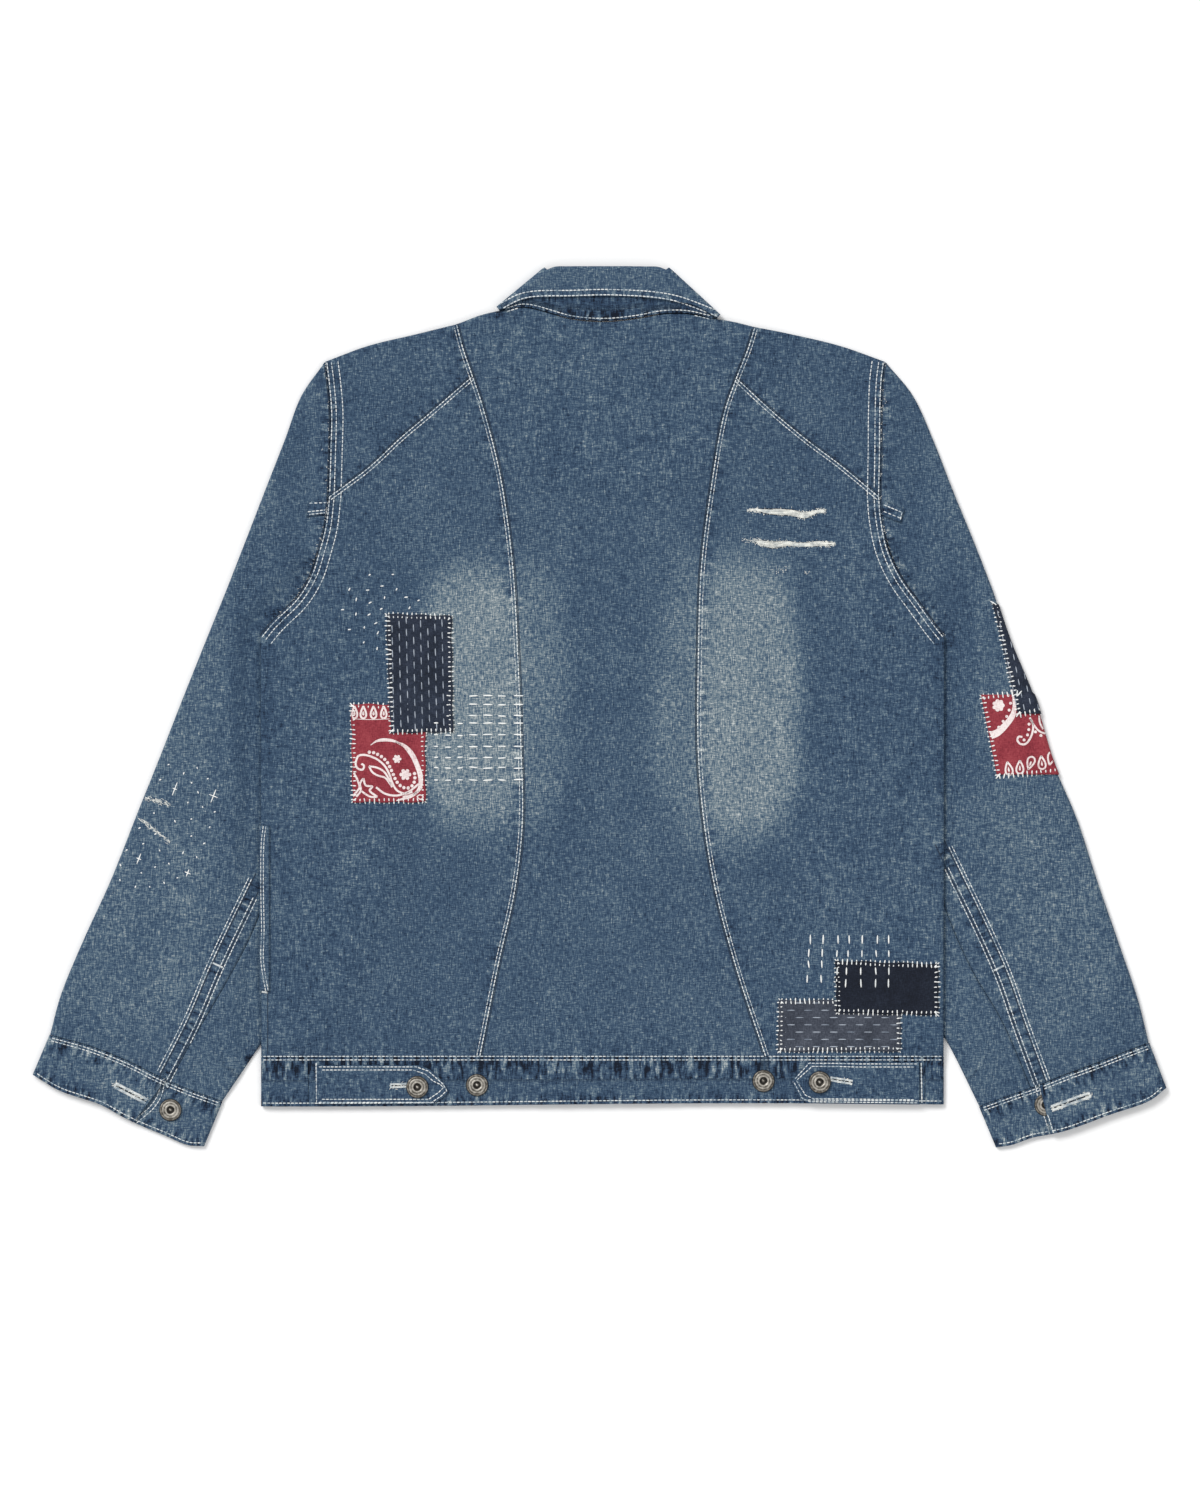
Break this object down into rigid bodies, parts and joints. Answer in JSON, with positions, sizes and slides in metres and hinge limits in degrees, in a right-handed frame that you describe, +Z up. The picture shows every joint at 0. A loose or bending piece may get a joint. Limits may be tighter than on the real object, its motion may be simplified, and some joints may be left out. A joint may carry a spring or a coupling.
{
  "type": "denim jacket",
  "caption": "Worn denim work jacket laid flat, back up, with sashiko and bandana patches, mending stitches, waist tabs and round metal buttons.",
  "frame": {"origin": "on the floor plane under the middle of the laid-out jacket's plan (bounding box bottom centre)", "axes": "+Z up from the floor through the jacket's back; +X to the wearer's right, along the spread sleeves; +Y to the collar"},
  "size_m": [0.9518, 0.7398, 0.0107],
  "materials": {
    "denim": "washed indigo twill, matt",
    "indigo_patch": "dark sashiko cloth, matt",
    "red_patch": "printed cotton, matt",
    "black_patch": "plain dark cotton, matt",
    "grey_patch": "grey sashiko cloth, matt",
    "button_metal": "aged, dished tack button"
  },
  "bodies": {
    "root": {"back_center": "denim", "back_side_left": "denim", "back_yoke_left": "denim", "front_left": "denim", "back_side_right": "denim", "back_yoke_right": "denim", "front_right": "denim", "sleeve_upper_left": "denim", "sleeve_under_left": "denim", "cuff_left": "denim", "sleeve_upper_right": "denim", "sleeve_under_right": "denim", "cuff_right": "denim", "waistband_back": "denim", "waistband_left": "denim", "waistband_right": "denim", "collar_stand": "denim", "collar_leaf": "denim", "patch_red_left": "red_patch", "patch_indigo_left": "indigo_patch", "patch_grey_right": "grey_patch", "patch_black_right": "black_patch", "patch_red_sleeve": "red_patch", "patch_dark_sleeve": "indigo_patch", "pocket_welt_left": "denim", "waist_tab_left": "denim", "waist_tab_right": "denim", "waist_button_tab_left": "button_metal", "waist_button_band_left": "button_metal", "waist_button_tab_right": "button_metal", "waist_button_band_right": "button_metal", "cuff_button_left": "button_metal", "cuff_button_right": "button_metal"}
  },
  "joints": []
}
